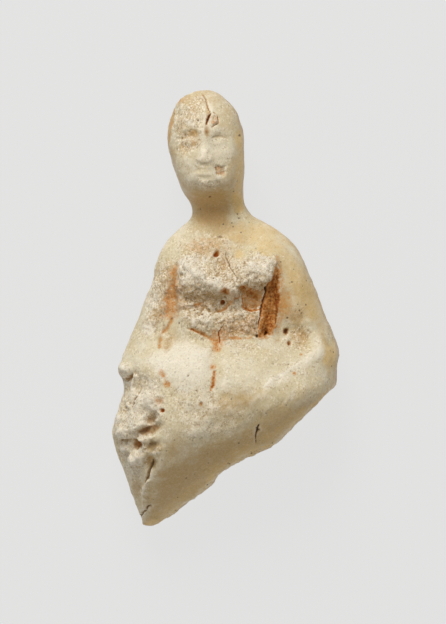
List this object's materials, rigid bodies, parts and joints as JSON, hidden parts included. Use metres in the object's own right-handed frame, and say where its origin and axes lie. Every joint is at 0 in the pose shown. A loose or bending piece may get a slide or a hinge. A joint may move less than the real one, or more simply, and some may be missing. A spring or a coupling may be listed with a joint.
{
  "type": "marble figurine fragment",
  "caption": "Broken marble figurine of a seated figure: worn head, bust and bent arms above a lap that ends in a slanting fracture; a display piece that lies on its back.",
  "frame": {"origin": "centre of the bounding box on the plane that the figure's back rests on", "axes": "+X to the viewer's right when looking at the face, +Y from the lap to the crown of the head, +Z from the back to the face"},
  "size_m": [0.0604, 0.1162, 0.0298],
  "materials": {
    "marble": "worn matt marble with tan patina and orange-brown deposits"
  },
  "bodies": {
    "root": {"figurine": "marble"}
  },
  "joints": []
}
